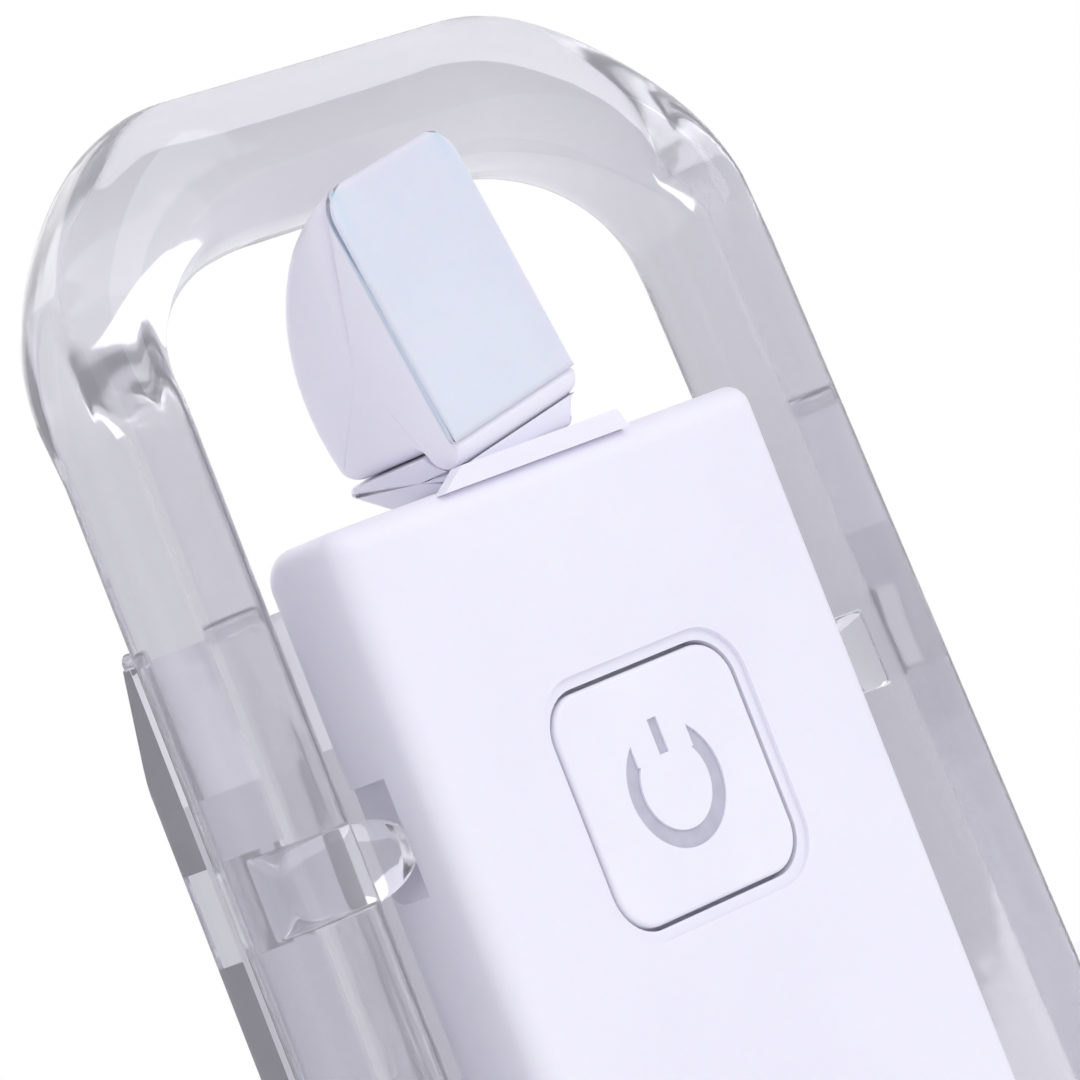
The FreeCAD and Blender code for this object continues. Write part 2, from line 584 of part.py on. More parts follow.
def head():
    """The lamp head: a rear shell with the tilt knuckle, a frosted front lens, and the lamp inside."""
    outer = head_outer()
    front_slab = block("lens_space", "sizes.head_width + 2", "0", FRONT + " - 1", "sizes.lens_thick + 1",
                       HEAD_BASE + " - 1", "sizes.head_rise")
    clear_round = cross_rod("ear_gap", "sizes.knuckle_radius + 0.05", "sizes.head_width")
    knuckle = cross_rod("head_knuckle", "sizes.knuckle_radius", "sizes.knuckle_half")
    web = block("knuckle_web", "2 * sizes.knuckle_half", "0", TILT_Y, "sizes.knuckle_radius + 0.6",
                HEAD_BASE + " + 0.05", "sizes.knuckle_radius + 0.3")
    pin_hole = cross_rod("head_pin_hole", "sizes.pin_radius + sizes.pin_gap", "sizes.head_width")
    hollow = head_form("hollow_", "sizes.head_wall")
    behind = block("hollow_space", "sizes.head_width", "0", FRONT + " + sizes.lens_thick - 0.1",
                   "sizes.head_depth", HEAD_BASE + " + 1.7", "sizes.head_rise")
    room = combine("Common", "head_room", hollow, behind)
    window = block("light_window", "sizes.head_width - 2 * sizes.head_wall", "0", FRONT, "2 * sizes.head_wall",
                   HEAD_BASE + " + 1.7", "sizes.window_high")
    shell = combine("Cut", "head_shell_solid", outer, [front_slab, clear_round, room, window])
    shell = combine("Fuse", "head_shell_knuckle", shell, [knuckle, web])
    keep_rolled("head_rear_shell", combine("Cut", "head_rear_shell", shell, pin_hole))
    lens_slab = block("lens_slab", "sizes.head_width + 2", "0", FRONT + " - 1", "sizes.lens_thick + 0.99",
                      HEAD_BASE + " - 1", "sizes.head_rise")
    lens_gap = cross_rod("lens_gap", "sizes.knuckle_radius + 0.07", "sizes.head_width")
    keep_rolled("head_lens", combine("Cut", "head_lens", combine("Common", "lens_solid", outer, lens_slab), lens_gap))
    lamp_z = HEAD_BASE + " + 3.2"
    lamp_y = FRONT + " + sizes.lens_thick"
    cup = block("reflector_block", "6.6", "0", lamp_y + " + 0.05", "1.8", lamp_z, "7.0")
    cone = doc.addObject("Part::Cone", "reflector_cone")
    cone.Placement = Placement(Vector(), Rotation(Z_AXIS, Y_AXIS))
    bind(cone, Radius1="3.0", Radius2="1.4", Height="1.9", x="0", y=lamp_y, z=lamp_z + " + 3.5")
    keep_rolled("reflector", combine("Cut", "reflector", cup, cone))
    board = block("led_board", "6.4", "0", lamp_y + " + 1.9", "0.6", lamp_z + " + 0.4", "6.2")
    keep_rolled("led_board", combine("Cut", "led_board_cut", board,
                                     rod("led_board_hole", "0.4", "3", ("2.4", lamp_y + " + 1", lamp_z + " + 1.2"),
                                         Y_AXIS)))
    chip = block("led_chip", "2.0", "0", lamp_y + " + 1.3", "0.58", lamp_z + " + 2.5", "2.0")
    dome = doc.addObject("Part::Sphere", "led_dome")
    bind(dome, Radius="0.55", x="0", y=lamp_y + " + 1.3", z=lamp_z + " + 3.5")
    keep_rolled("led", combine("Fuse", "led", chip, dome))


# ---------------------------------------------------------------- clear clip
lean = math.radians(size("arch_lean"))


def leg_x(sign, z):
    """Inner and outer x of one leg at a height."""
    flare = size("left_flare") if sign < 0 else size("right_flare")
    inner = leg_inner + (bend_z - z) * math.tan(math.radians(flare))
    return sign * inner, sign * (inner + size("leg_width"))


def rounded_section(inner, outer, through, half_deep, shrink=1.0, round_off=0.0):
    """A closed wire about the line from inner to outer: a rounded rectangle, deep along the through direction."""
    centre = (inner + outer) / 2
    across = (outer - inner).normalize()
    half_wide = inner.distanceToPoint(outer) / 2 * shrink
    half_deep = half_deep * shrink
    radius = min(max(size("leg_round"), round_off), 0.96 * half_wide, 0.96 * half_deep)
    arcs = []
    for sx, sy in ((1, 1), (-1, 1), (-1, -1), (1, -1)):
        hub = centre + across * (sx * (half_wide - radius)) + through * (sy * (half_deep - radius))
        ends = [hub + across * (sx * radius), hub + through * (sy * radius)]
        bulge = hub + (across * sx + through * sy) * (radius / math.sqrt(2))
        if sx * sy < 0:
            ends.reverse()
        arcs.append((ends[0], bulge, ends[1]))
    edges = []
    for index, (start, bulge, end) in enumerate(arcs):
        edges.append(Part.Arc(start, bulge, end).toShape())
        edges.append(Part.LineSegment(end, arcs[(index + 1) % 4][0]).toShape())
    return Part.Wire(edges)


def leg_sections(sign):
    """One leg's sections, from its lower end up to the bend, where the section lies in the bend's mitre."""
    half_deep = size("leg_depth") / 2
    sections = []
    for z, shrink in ((size("leg_end"), 0.6), (size("leg_end") + 1.1, 1.0), (bump_z, 1.0)):
        inner, outer = leg_x(sign, z)
        sections.append(rounded_section(Vector(inner, leg_middle, z), Vector(outer, leg_middle, z),
                                        Y_AXIS, half_deep, shrink))
    inner, outer = leg_x(sign, bend_z)
    mitre = Vector(0, math.cos(lean / 2), -math.sin(lean / 2))
    sections.append(rounded_section(Vector(inner, leg_middle, bend_z), Vector(outer, leg_middle, bend_z),
                                    mitre, half_deep / math.cos(lean / 2)))
    return sections


def arch_sections(sign, steps=10):
    """Half of the arch: quarter ellipses for its inner and outer edge, in the plane that leans back."""
    inner_x = leg_inner
    outer_x = leg_inner + size("leg_width")
    outer_top = size("arch_inner") + size("arch_bar")
    through = Vector(0, math.cos(lean), -math.sin(lean))
    sections = []
    for step in range(1, steps + 1):
        turn = math.pi / 2 * step / steps
        short, tall = 1 - math.cos(turn), 1 - math.sin(turn)
        ends = []
        for x, rise in ((inner_x - size("arch_inner_x") * short, size("arch_inner") * (1 - tall)),
                        (outer_x - size("arch_outer_x") * short, outer_top - size("arch_outer_z") * tall)):
            ends.append(Vector(sign * x, leg_middle + rise * math.sin(lean), bend_z + rise * math.cos(lean)))
        round_off = size("leg_round") + (size("bar_round") - size("leg_round")) * math.sin(turn)
        sections.append(rounded_section(ends[0], ends[1], through, size("leg_depth") / 2, round_off=round_off))
    return sections


def bump(sign):
    """The bump on a leg that sits in the housing's notch."""
    radius = size("bump_height") / 2
    x = size("housing_width") / 2 - size("bump_reach") + radius
    y = front + size("notch_front") + 0.2
    round_end = Part.makeCylinder(radius, size("bump_depth"), Vector(sign * x, y, bump_z), Y_AXIS)
    reach = abs(leg_x(sign, bump_z)[0]) + 1.0 - x
    low_x = x if sign > 0 else -x - reach
    base = Part.makeBox(reach, size("bump_depth"), 2 * radius, Vector(low_x, y, bump_z - radius))
    return round_end.fuse(base)


ramp_low = housing_top - size("jaw_ramp")
root_z = housing_top - size("jaw_root")
jaw_front = size("page_gap") / 2
jaw_back = jaw_front + size("jaw_thick")
root_span = (leg_inner + 0.4, leg_inner + size("leg_width") - size("jaw_inset"))


def ramp_y(z):
    """The rear face of the jaw's ramp at a height: thick below, thin at the root."""
    return jaw_back * (housing_top - z) / (housing_top - ramp_low)


def flex_root(sign, gap):
    """The round root of the jaw on one leg, or with a gap added, the seat it turns in."""
    x_low, x_high = root_span
    start = sign * x_low - gap if sign > 0 else -x_high - gap
    return Part.makeCylinder(size("flex_radius") + gap, x_high - x_low + 2 * gap,
                             Vector(start, size("flex_y"), root_z), Vector(1, 0, 0))


def root_pad(sign):
    """The root where the jaw springs from the back of one leg."""
    x_low, x_high = root_span
    y_low = leg_middle
    outline = [(y_low, root_z), (ramp_y(root_z), root_z), (ramp_y(housing_top), housing_top), (y_low, housing_top)]
    points = [Vector(sign * x_low, y, z) for y, z in outline]
    face = Part.Face(Part.makePolygon(points + points[:1]))
    return face.extrude(Vector(sign * (x_high - x_low), 0, 0))


def clip_frame():
    """The clear hoop: two legs beside the housing and an arch that leans back over the head."""
    wires = leg_sections(1) + arch_sections(1) + arch_sections(-1)[::-1] + leg_sections(-1)[::-1]
    hoop = Part.makeLoft(wires, True, True)
    hoop = hoop.fuse([bump(1), bump(-1), root_pad(1), root_pad(-1)]).removeSplitter()
    gap = size("flex_gap")
    return plain("clip_frame", hoop.cut([flex_root(1, gap), flex_root(-1, gap)]))


def clip_jaw():
    """The clear rear jaw: a plate behind the housing that thins towards its root, with a lead-in at its tip."""
    inset = size("jaw_inset")
    top_z = root_z - 3 * size("flex_gap")
    corners = []
    for sign, z in ((-1, 0.0), (1, 0.0), (1, top_z), (-1, top_z)):
        corners.append(Vector(leg_x(sign, z)[1] - sign * inset, jaw_front, z))
    plate = Part.Face(Part.makePolygon(corners + corners[:1])).extrude(Vector(0, size("jaw_thick"), 0))
    lower = [e for e in plate.Edges if runs_along(e, Y_AXIS) and middle(e).z < 1]
    plate = plate.makeFillet(6.0, lower)
    outer = [e for e in plate.Edges if abs(middle(e).y - jaw_back) < 0.001 and middle(e).z < top_z - 0.1]
    plate = plate.makeFillet(size("jaw_round"), outer)
    wide = 4 * size("housing_width")
    ramp = [Vector(-wide / 2, jaw_back, ramp_low), Vector(-wide / 2, jaw_back + 9, ramp_low),
            Vector(-wide / 2, jaw_back + 9, housing_top), Vector(-wide / 2, ramp_y(housing_top), housing_top)]
    plate = plate.cut(Part.Face(Part.makePolygon(ramp + ramp[:1])).extrude(Vector(wide, 0, 0)))
    lip = size("jaw_lip")
    lead = [Vector(-wide / 2, jaw_front - 1, -1), Vector(-wide / 2, jaw_front - 1, lip),
            Vector(-wide / 2, jaw_front, lip), Vector(-wide / 2, jaw_front + size("jaw_lip_out"), -1)]
    plate = plate.cut(Part.Face(Part.makePolygon(lead + lead[:1])).extrude(Vector(wide, 0, 0)))
    for sign in (-1, 1):
        x = size("housing_width") / 2 + 1.0
        low_x = x if sign > 0 else -x - 4.0
        window = Part.makeBox(4.0, 9, size("bump_height") + 0.6,
                              Vector(low_x, jaw_front - 1, bump_z - size("bump_height") / 2 - 0.3))
        plate = plate.cut(window)
        plate = plate.fuse(flex_root(sign, 0.0))
    return plain("clip_jaw", plate)


# ---------------------------------------------------------------- build, check and write
def main():
    """Build every piece, check it, and write one file for each."""
    envelope = housing_envelope()
    front_shell(envelope)
    rear_shell(envelope)
    housing_screws()
    battery_door()
    power_button()
    keep("power_icon", icon_solids("power_icon_", "sizes.icon_sink", 1))
    electronics()
    cells()
    lead_wires()
    neck()
    head()
    clip_frame()
    clip_jaw()
    doc.recompute()
    faults = [obj.Name for obj in doc.Objects if {"Invalid", "Error"} & set(obj.State)]
    faults += [node for node, obj in pieces.items() if obj.Shape.isNull() or not obj.Shape.isValid()]
    if faults:
        raise RuntimeError("pieces that failed: " + ", ".join(faults))
    os.makedirs("parts", exist_ok=True)
    for node, obj in pieces.items():
        obj.Shape.exportStep("parts/%s.step" % node)
        box_of = obj.Shape.BoundBox
        print("%-18s %d solid(s) %8.1f mm3  x %.1f..%.1f  y %.1f..%.1f  z %.1f..%.1f" % (
            node, len(obj.Shape.Solids), obj.Shape.Volume, box_of.XMin, box_of.XMax, box_of.YMin, box_of.YMax,
            box_of.ZMin, box_of.ZMax))


main()
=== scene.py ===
# %% [markdown]
# # Clip on reading lamp
# A flat battery housing sits between the two legs of a clear moulded clip, and a small head looks
# over its top edge. This lesson loads the measured parts as a fixed frame, lays smooth clear
# surfaces over the clip, gives every piece the finish it was made with, and sets up a small
# product studio.

# %% Load the measured frame
import json
import math
import bmesh
import bpy
import numpy as np
from mathutils import Matrix, Vector


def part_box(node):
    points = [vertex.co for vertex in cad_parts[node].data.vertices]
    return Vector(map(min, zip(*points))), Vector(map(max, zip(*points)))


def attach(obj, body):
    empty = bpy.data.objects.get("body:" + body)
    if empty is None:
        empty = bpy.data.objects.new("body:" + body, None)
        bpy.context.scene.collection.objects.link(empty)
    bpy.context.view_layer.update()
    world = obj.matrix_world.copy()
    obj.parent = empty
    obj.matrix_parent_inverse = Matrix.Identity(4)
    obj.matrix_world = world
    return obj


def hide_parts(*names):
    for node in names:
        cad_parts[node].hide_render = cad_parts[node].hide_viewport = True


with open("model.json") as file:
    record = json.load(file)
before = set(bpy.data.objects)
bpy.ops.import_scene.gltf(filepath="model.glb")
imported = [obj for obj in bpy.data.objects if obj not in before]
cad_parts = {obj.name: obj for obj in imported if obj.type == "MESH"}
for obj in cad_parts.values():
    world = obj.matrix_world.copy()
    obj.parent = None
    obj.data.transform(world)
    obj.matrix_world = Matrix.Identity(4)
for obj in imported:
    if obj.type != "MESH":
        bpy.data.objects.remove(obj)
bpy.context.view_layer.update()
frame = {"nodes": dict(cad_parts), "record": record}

MM = 0.001    # metres in a millimetre

# %% [markdown]
# ## Measures
# The clip follows a few measures: how far the legs stand apart, where they bend and how far the
# arch leans back. They are kept in one place in millimetres, so that every surface below reads
# from the same numbers.

# %% Measures of the lamp, in millimetres
HOUSING_TOP = 68.0    # the front shell's own box is higher, by its lip
HOUSING_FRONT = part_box("front_shell")[0].y / MM
LEG_INNER, LEG_WIDE, LEG_DEEP = 17.0, 4.1, 7.4
LEFT_FLARE, RIGHT_FLARE = math.radians(0.2), math.radians(2.3)
LEG_MIDDLE = HOUSING_FRONT + 4.9    # the legs' middle depth
LEG_END = 1.0
BEND = HOUSING_TOP + 7.2
LEAN = math.radians(9.2)
ARCH_INNER_RISE, ARCH_BAR = 6.7, 7.2
OUTER_X, OUTER_Z = 12.0, 12.0
INNER_X = 11.0
print("housing top %.1f mm, leg middle y %.2f mm, bend at %.1f mm" % (HOUSING_TOP, LEG_MIDDLE, BEND))

# %% [markdown]
# ## From arrays to a mesh
# A swept shape is a grid: one ring of points for each section along the path. Numpy works out all
# the points at once, and `from_pydata` hands them to the mesh. The faces' corner numbers are an
# array too, so nothing loops over vertices.

# %% A grid of points becomes a closed mesh
def tube_from_rings(name, rings):
    """A closed tube from rings of shape (rows, columns, 3) in mm.

    Face (i, j) joins ring i to ring i + 1 between columns j and j + 1; the last column meets the first.
    Two smaller rings in the end's own plane keep it flat, and a fan about its middle closes it.
    """
    centre = rings[[0, -1]].mean(axis=1, keepdims=True)
    start_cap = centre[:1] + (rings[:1] - centre[:1]) * np.array([0.5, 0.93])[:, None, None]
    end_cap = centre[1:] + (rings[-1:] - centre[1:]) * np.array([0.93, 0.5])[:, None, None]
    rings = np.concatenate([start_cap, rings, end_cap])
    rows, columns, _ = rings.shape
    vertices = np.vstack([rings.reshape(-1, 3), rings[[0, -1]].mean(axis=1)]) * MM
    i, j = np.meshgrid(np.arange(rows - 1) * columns, np.arange(columns), indexing="ij")
    k = (j + 1) % columns
    sides = np.stack([i + j, i + k, i + columns + k, i + columns + j], -1).reshape(-1, 4)
    j, k, last = j[0], k[0], (rows - 1) * columns
    start_fan = np.stack([np.full(columns, rows * columns), k, j], -1)
    end_fan = np.stack([np.full(columns, rows * columns + 1), last + j, last + k], -1)
    mesh = bpy.data.meshes.new(name)
    mesh.from_pydata(vertices.tolist(), [], sides.tolist() + start_fan.tolist() + end_fan.tolist())
    shape = bmesh.new()
    shape.from_mesh(mesh)
    bmesh.ops.recalc_face_normals(shape, faces=shape.faces)
    shape.to_mesh(mesh)
    shape.free()
    mesh.polygons.foreach_set("use_smooth", np.ones(len(mesh.polygons), bool))
    piece = bpy.data.objects.new(name, mesh)
    bpy.context.scene.collection.objects.link(piece)
    print("%s: %d faces" % (name, len(mesh.polygons)))
    return piece


# %% [markdown]
# ## The clear clip
# The clip is one clear moulding: two deep, narrow legs and an arch that leans back over the head.
# Its section is a rounded rectangle that is wide in the arch and narrow in the legs. It could be
# drawn as a curve with a bevel, but a curve can't change its section's shape, so the clip is a
# sweep: an inner edge, an outer edge and a depth direction are worked out along the path, and a
# ring of points is laid about each pair of edge points.

# %% The section's ring
def ring_pattern(arc_steps=12, side_steps=20):
    """Corner signs and arc directions of a rounded rectangle, once round.

    Each corner is a quarter circle; each deep side has evenly spaced points between its corners.
    Each row is (sign across, sign through, cosine, sine); along a deep side the sign through
    runs from one corner's to the other's.
    """
    parts = []
    for across, through, begin in ((1, 1, 0.0), (-1, 1, 90.0), (-1, -1, 180.0), (1, -1, 270.0)):
        angle = np.radians(begin + np.linspace(0, 90, arc_steps))
        ones = np.ones(arc_steps)
        parts.append(np.stack([across * ones, through * ones, np.cos(angle), np.sin(angle)], -1))
        if across * through < 0:
            share = np.linspace(0, 1, side_steps + 2)[1:-1]
            ones = np.ones(side_steps)
            parts.append(np.stack([across * ones, through * (1 - 2 * share), across * ones, 0 * ones],
                                  -1))
    return np.vstack(parts)


PATTERN = ring_pattern()
print("ring points:", len(PATTERN))


# %% Rings about an inner and an outer edge
WIDEST_ROUND = 0.96    # a corner takes up at most this share of the half width


def rings_about(inner, outer, through, half_deep, radius):
    """Rings of points about the middle of each edge pair.

    point = middle + across * (sign * (half width - radius) + radius * cosine)
                   + through * (sign * (half depth - radius) + radius * sine)
    """
    middle = (inner + outer) / 2
    across = outer - inner
    width = np.linalg.norm(across, axis=1, keepdims=True)
    across = across / width
    radius = np.minimum(radius, WIDEST_ROUND * width / 2)
    a = PATTERN[:, 0] * (width / 2 - radius) + radius * PATTERN[:, 2]
    t = PATTERN[:, 1] * (half_deep - radius) + radius * PATTERN[:, 3]
    return middle[:, None] + across[:, None] * a[..., None] + through[:, None] * t[..., None]


# %% The path of the clip's edges
BUMP_Z = HOUSING_TOP - 14.1
BUMP_HALF_HIGH, BUMP_HALF_DEEP, BUMP_TIP_X = 1.9, 2.1, 13.0
BUMP_Y = HOUSING_FRONT + 3.0 + BUMP_HALF_DEEP
LEG_ROUND, BAR_ROUND = 1.9, 3.4
END_ROUND, END_WIDTH = 1.4, 0.25    # the rounding's height, and the width left at the very end
BUMP_MARGIN, BEND_MARGIN = 0.25, 1.2    # past the bump's edges, and below the bend
CORNER_FLAT = 0.035
print("bump at %.1f mm, tips %.1f mm apart" % (BUMP_Z, 2 * BUMP_TIP_X))


def leg_heights():
    """Heights up one leg: sparse on the plain lengths, dense over the bump and the rounded end."""
    end = LEG_END + END_ROUND * (1 - np.cos(np.linspace(0, np.pi / 2, 8)))
    bump = BUMP_Z + (BUMP_HALF_HIGH + BUMP_MARGIN) * np.sin(np.linspace(-np.pi / 2, np.pi / 2, 49))
    low = np.linspace(end[-1], bump[0], 30)[1:-1]
    high = np.linspace(bump[-1], BEND - BEND_MARGIN, 24)[1:]
    return np.concatenate([end, low, bump, high])


def leg_rings(side):
    """One leg from its lower end to just below the bend. side is -1 left, +1 right."""
    z = leg_heights()
    flare = LEFT_FLARE if side < 0 else RIGHT_FLARE
    inner_x = LEG_INNER + (BEND - z) * np.tan(flare)
    closing = np.clip((z - LEG_END) / END_ROUND, 0, 1)
    closing = END_WIDTH + (1 - END_WIDTH) * np.sqrt(1 - (1 - closing) ** 2)
    spare = LEG_WIDE / 2 * (1 - closing)
    inner = np.stack([side * (inner_x + spare), np.full_like(z, LEG_MIDDLE), z], -1)
    outer = np.stack([side * (inner_x + LEG_WIDE - spare), np.full_like(z, LEG_MIDDLE), z], -1)
    through = np.tile([0.0, 1.0, 0.0], (len(z), 1))
    half_deep = (LEG_DEEP / 2 * (1 - (1 - closing) * 0.5))[:, None]
    return rings_about(inner, outer, through, half_deep, LEG_ROUND)


def arch_rings(side, corner_steps=56, bar_steps=14):
    """Half of the arch, from the bend to just before the middle of the top bar.

    inner edge: x = inner - 11 (1 - cos), rise = 6.7 sin
    outer edge: x = outer - 12 (1 - cos + flat), rise = 13.9 - 12 (1 - sin + flat)
    flat = 0.035 sin^2(2 turn) takes a little off the outer corner; both edges then run straight
    to the middle at constant rise.
    """
    turn = np.linspace(0, np.pi / 2, corner_steps)
    cos, sin = np.cos(turn), np.sin(turn)
    flat = CORNER_FLAT * np.sin(2 * turn) ** 2
    inner_x, inner_rise = LEG_INNER - INNER_X * (1 - cos), ARCH_INNER_RISE * sin
    top = ARCH_INNER_RISE + ARCH_BAR
    outer_x = LEG_INNER + LEG_WIDE - OUTER_X * (1 - cos + flat)
    outer_rise = top - OUTER_Z * (1 - sin + flat)
    share = 1 - np.linspace(0, 1, bar_steps + 1)[1:]
    inner_x = np.append(inner_x, inner_x[-1] * share)
    outer_x = np.append(outer_x, outer_x[-1] * share)
    inner_rise = np.append(inner_rise, np.full(bar_steps, ARCH_INNER_RISE))
    outer_rise = np.append(outer_rise, np.full(bar_steps, top))
    edges = [np.stack([side * x, LEG_MIDDLE + rise * math.sin(LEAN), BEND + rise * math.cos(LEAN)],
                      -1)
             for x, rise in ((inner_x, inner_rise), (outer_x, outer_rise))]
    through = np.tile([0.0, math.cos(LEAN), -math.sin(LEAN)], (len(inner_x), 1))
    half_deep = np.full((len(inner_x), 1), LEG_DEEP / 2)
    radius = LEG_ROUND + (BAR_ROUND - LEG_ROUND) * np.append(sin, np.ones(bar_steps))[:, None]
    return rings_about(edges[0], edges[1], through, half_deep, radius)


# %% The bumps that hold the housing
def push_bump(rings, side):
    """Pushes a leg's inner face out to a bump: x moves towards the tip by the share up * deep.

    up = (1 - |s|^2.4)^(1/2) over the height gives steep flanks and a round crown;
    deep = (1 - |s|^8)^(1/4) over the depth is nearly square.
    """
    up = np.clip(np.abs(rings[..., 2] - BUMP_Z) / BUMP_HALF_HIGH, 0, 1)
    deep = np.clip(np.abs(rings[..., 1] - BUMP_Y) / BUMP_HALF_DEEP, 0, 1)
    shape = (1 - up ** 2.4) ** 0.5 * (1 - deep ** 8) ** 0.25
    facing = np.broadcast_to(PATTERN[:, 0] < 0, shape.shape)
    moved = rings.copy()
    moved[..., 0] += np.where(facing, shape * (side * BUMP_TIP_X - rings[..., 0]), 0)
    return moved


# %% The whole clip in one sweep
right_leg = push_bump(leg_rings(1), 1)
left_leg = push_bump(leg_rings(-1), -1)
right_arch, left_arch = arch_rings(1), arch_rings(-1)[:-1]
hoop_rings = np.vstack([right_leg, right_arch, left_arch[::-1], left_leg[::-1]])
clear_hoop = tube_from_rings("clear_hoop", hoop_rings)
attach(clear_hoop, "clip")
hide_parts("clip_frame")

# %% [markdown]
# ## The head and its neck
# The head is a small block with a frosted front plate and a back that is one long round arc;
# under a fine crease a tapered neck carries it. Booleans of boxes would leave hard edges, so each
# is a side outline carried across the width: near both ends the outline draws in along its own
# normals, which rounds the edges as a mould does. Where two parts meet flush, the outline doesn't
# draw in and the seam stays crisp.

# %% Outlines are drawn in head coordinates
# f is the distance behind the front face and h the height above the housing's top, both in mm.
HEAD_HALF, HEAD_TOP_ROUND = 4.4, 1.5
CREASE, LENS_THICK = 2.6, 0.5
ARC_F, ARC_H, ARC_R = -1.82, 5.0, 10.45    # the long arc of the back
CHIN_F, CHIN_H, CHIN_R, CHIN_SQUASH = 7.5, 3.55, 1.03, 0.92    # the rounded edge over the crease
LENS_GAP, CREASE_GAP, PLATE_ROUND = 0.01, 0.15, 0.22
PIN_F, BARREL_R = 1.25, 1.15
SWING_BACK, SWING_DROP = 3.6, 1.5
HEAD_ROLL = math.radians(-10.0)
print("head %.1f mm wide, rolled %.0f degrees" % (2 * HEAD_HALF, math.degrees(HEAD_ROLL)))


def line(start, end, count=16):
    """Evenly spaced points of a straight line, without its last point."""
    share = np.linspace(0, 1, count + 1)[:-1, None]
    return np.array(start) * (1 - share) + np.array(end) * share


def arc(centre, radius, start, end, count=24, squash=1.0):
    """centre + radius * (cos, squash * sin) between two angles in degrees, without its last point."""
    angle = np.radians(np.linspace(start, end, count + 1)[:-1])
    return np.array(centre) + radius * np.stack([np.cos(angle), squash * np.sin(angle)], -1)


def roll_left(points):
    """Turns points about the swing pin: x' = x cos + z sin, z' = -x sin + z cos, from the pin."""
    pin = np.array([0.0, HOUSING_FRONT + SWING_BACK, HOUSING_TOP - SWING_DROP])
    x, y, z = np.moveaxis(points - pin, -1, 0)
    cos, sin = math.cos(HEAD_ROLL), math.sin(HEAD_ROLL)
    return np.stack([x * cos + z * sin, y, -x * sin + z * cos], -1) + pin


def across_rings(outline, soft, half_width, radius, narrow=None):
    """An outline (f, h) carried from side to side.

    point = outline - normal * soft * radius * (1 - sin)
    The normal is the outline's tangent turned a right angle. narrow(h) scales the width with height.
    """
    ahead, behind = np.roll(outline, -1, axis=0), np.roll(outline, 1, axis=0)
    tangent = ahead - behind
    tangent = tangent / np.linalg.norm(tangent, axis=1, keepdims=True)
    normal = np.stack([-tangent[:, 1], tangent[:, 0]], -1)
    turn = np.linspace(0, np.pi / 2, 10)
    end_x = -(half_width - radius) - radius * np.cos(turn)
    inside = np.linspace(-(half_width - radius), half_width - radius, 12)[1:-1]
    x = np.concatenate([end_x, inside, -end_x[::-1]])
    end_draw = 1 - np.sin(turn)
    draw_in = np.concatenate([end_draw, np.zeros(len(inside)), end_draw[::-1]]) * radius
    flat = outline[None] - normal[None] * soft[None, :, None] * draw_in[:, None, None]
    wide = np.ones(flat.shape[:2]) if narrow is None else narrow(flat[..., 1])
    y, z = HOUSING_FRONT + flat[..., 0], HOUSING_TOP + flat[..., 1]
    return roll_left(np.stack([x[:, None] * wide, y, z], -1))


# %% Head shell
lens_back_top = ARC_H + math.sqrt(ARC_R ** 2 - (LENS_THICK - ARC_F) ** 2)
top_angle = math.degrees(math.atan2(lens_back_top - ARC_H, LENS_THICK - ARC_F))
parts = [line((LENS_THICK, CREASE + CREASE_GAP), (LENS_THICK, lens_back_top), 30),
         arc((ARC_F, ARC_H), ARC_R, top_angle, -8, 60),
         arc((CHIN_F, CHIN_H), CHIN_R, 0, -90, 12, squash=CHIN_SQUASH),
         line((CHIN_F, CREASE), (PIN_F + BARREL_R, CREASE), 12),
         arc((PIN_F, CREASE), BARREL_R, 0, -180, 20)]
softness = [np.zeros(30), np.clip(np.linspace(0, 5, 60), 0, 1), np.ones(12), np.full(12, 0.8),
            np.full(20, 0.2)]


def shoulders(h):
    """Rounds the top corners in the front view: the width falls off as a quarter circle."""
    past = np.clip((h - (lens_back_top - HEAD_TOP_ROUND)) / (HEAD_TOP_ROUND + 0.12), 0, 1)
    return 1 - HEAD_TOP_ROUND * (1 - np.sqrt(1 - past ** 2)) / HEAD_HALF


head_rings = across_rings(np.vstack(parts), np.concatenate(softness), HEAD_HALF, 1.0, shoulders)
head_shell = tube_from_rings("head_shell_moulding", head_rings)
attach(head_shell, "head")
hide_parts("head_rear_shell")

# %% Frosted front plate
lens_front_top = ARC_H + math.sqrt(ARC_R ** 2 - ARC_F ** 2)
plate_back, plate_low = LENS_THICK - LENS_GAP, CREASE + 0.03
parts = [line((0, plate_low), (0, lens_front_top), 40),
         line((0, lens_front_top), (plate_back, lens_back_top), 6),
         line((plate_back, lens_back_top), (plate_back, plate_low), 40),
         line((plate_back, plate_low), (0, plate_low), 4)]
softness = [np.ones(40), np.ones(6), np.zeros(40), np.zeros(4)]
plate_rings = across_rings(np.vstack(parts), np.concatenate(softness), HEAD_HALF, PLATE_ROUND,
                           shoulders)
front_plate = tube_from_rings("frosted_plate", plate_rings)
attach(front_plate, "head")
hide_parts("head_lens")

